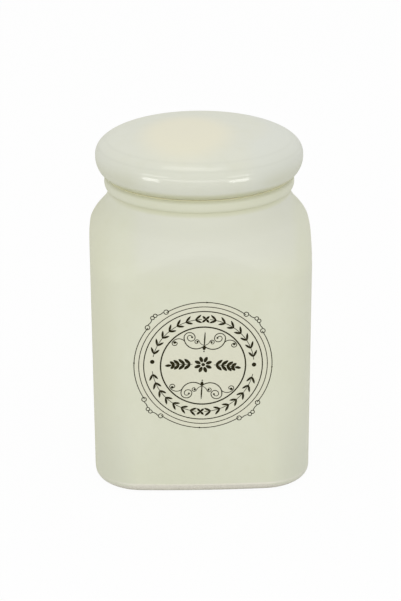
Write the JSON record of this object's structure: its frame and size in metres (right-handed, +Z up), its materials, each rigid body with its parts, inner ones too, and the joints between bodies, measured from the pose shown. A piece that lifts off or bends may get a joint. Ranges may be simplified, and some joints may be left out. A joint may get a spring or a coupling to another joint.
{
  "type": "storage canister",
  "caption": "Square glazed ceramic storage canister with rounded corners, round collared neck and domed lift-off lid with a plug and sealing ring, for sugar or other dry goods",
  "frame": {"origin": "middle of the flat foot that the jar stands on", "axes": "+Z up along the jar's axis; -Y out of the front face; +X to the right seen from the front"},
  "size_m": [0.11, 0.11, 0.1745],
  "materials": {
    "cream_glaze": "gloss",
    "lid_glaze": "gloss",
    "silicone": "matte"
  },
  "bodies": {
    "jar": {"jar": "cream_glaze"},
    "seal_ring": {"seal_ring": "silicone"},
    "lid": {"lid": "lid_glaze"}
  },
  "joints": [
    {"name": "lid_lift", "type": "slide", "parent": "jar", "child": "seal_ring", "axis": [0, 0, 1], "range_m": [0, 0.1]},
    {"name": "lid_turn", "type": "hinge", "parent": "seal_ring", "child": "lid", "pos_m": [0, 0, 0.1498], "axis": [0, 0, 1], "continuous": true}
  ]
}
